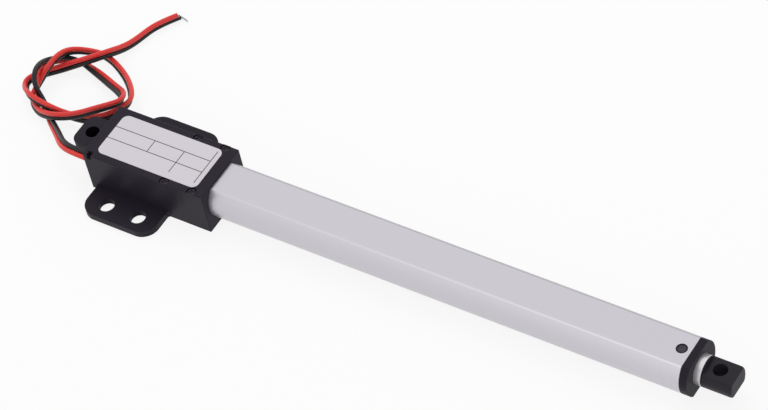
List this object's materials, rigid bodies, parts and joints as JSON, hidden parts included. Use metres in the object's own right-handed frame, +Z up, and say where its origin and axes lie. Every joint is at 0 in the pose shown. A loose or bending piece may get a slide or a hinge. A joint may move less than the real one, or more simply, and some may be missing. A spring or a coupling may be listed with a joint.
{
  "type": "electric linear actuator",
  "caption": "Slim electric linear actuator: a rod with a cross-hole end slides from a flat-sided tube; the motor housing has mounting ears, a rear pivot lug and a loose twin cable.",
  "frame": {"origin": "where the axis of the rear pivot hole crosses the axis of the tube", "axes": "+X runs forward along the rod, the way it extends; +Z is up, out of the labelled face, along the pivot hole; +Y is to the left"},
  "size_m": [0.2525, 0.0795, 0.0152],
  "materials": {
    "housing_plastic": "satin moulded black with a fine grain",
    "label": "bare pale film",
    "black_screw_steel": "black oxide",
    "tube_aluminium": "satin anodised",
    "cap_plastic": "black moulded",
    "seal_rubber": "black rubber",
    "rod_steel": "ground and polished stainless",
    "clevis_metal": "black coated",
    "nut_plastic": "natural acetal",
    "screw_steel": "rolled steel",
    "bearing_steel": "ground bearing steel",
    "motor_steel": "zinc plated",
    "terminal_brass": "bare brass",
    "board": "green laminate",
    "switch_plastic": "black moulded",
    "cable_sheath": "soft red insulation; one core of the pair is black",
    "tinned_copper": "tinned strands"
  },
  "bodies": {
    "base": {"housing_base": "housing_plastic", "housing_cover": "housing_plastic", "cover_screws": "black_screw_steel", "label_plate": "label", "outer_tube": "tube_aluminium", "front_cap": "cap_plastic", "cap_pin": "cap_plastic", "rod_seal": "seal_rubber", "bearing_carrier": "tube_aluminium", "bearing_outer_ring": "bearing_steel", "gearbox_case": "motor_steel", "motor_can": "motor_steel", "motor_end_bell": "cap_plastic", "motor_terminals": "terminal_brass", "switch_board": "board", "rear_limit_switch": "switch_plastic", "front_limit_switch": "switch_plastic", "twin_cable": "cable_sheath", "wire_tips": "tinned_copper"},
    "rod": {"piston_rod": "rod_steel", "clevis_end": "clevis_metal", "drive_nut": "nut_plastic"},
    "screw": {"lead_screw": "screw_steel", "screw_coupling": "screw_steel", "bearing_inner_ring": "bearing_steel", "gearbox_shaft": "screw_steel"}
  },
  "joints": [
    {"name": "rod_slide", "type": "slide", "parent": "base", "child": "rod", "axis": [1, 0, 0], "range_m": [0, 0.15]},
    {"name": "screw_turn", "type": "hinge", "parent": "base", "child": "screw", "pos_m": [0.0347, 0, 0], "axis": [1, 0, 0], "range_deg": [0, 27000]}
  ],
  "couplings": [
    {"joint": "screw_turn", "follows": "rod_slide", "rad_per_m": 3141.6}
  ]
}
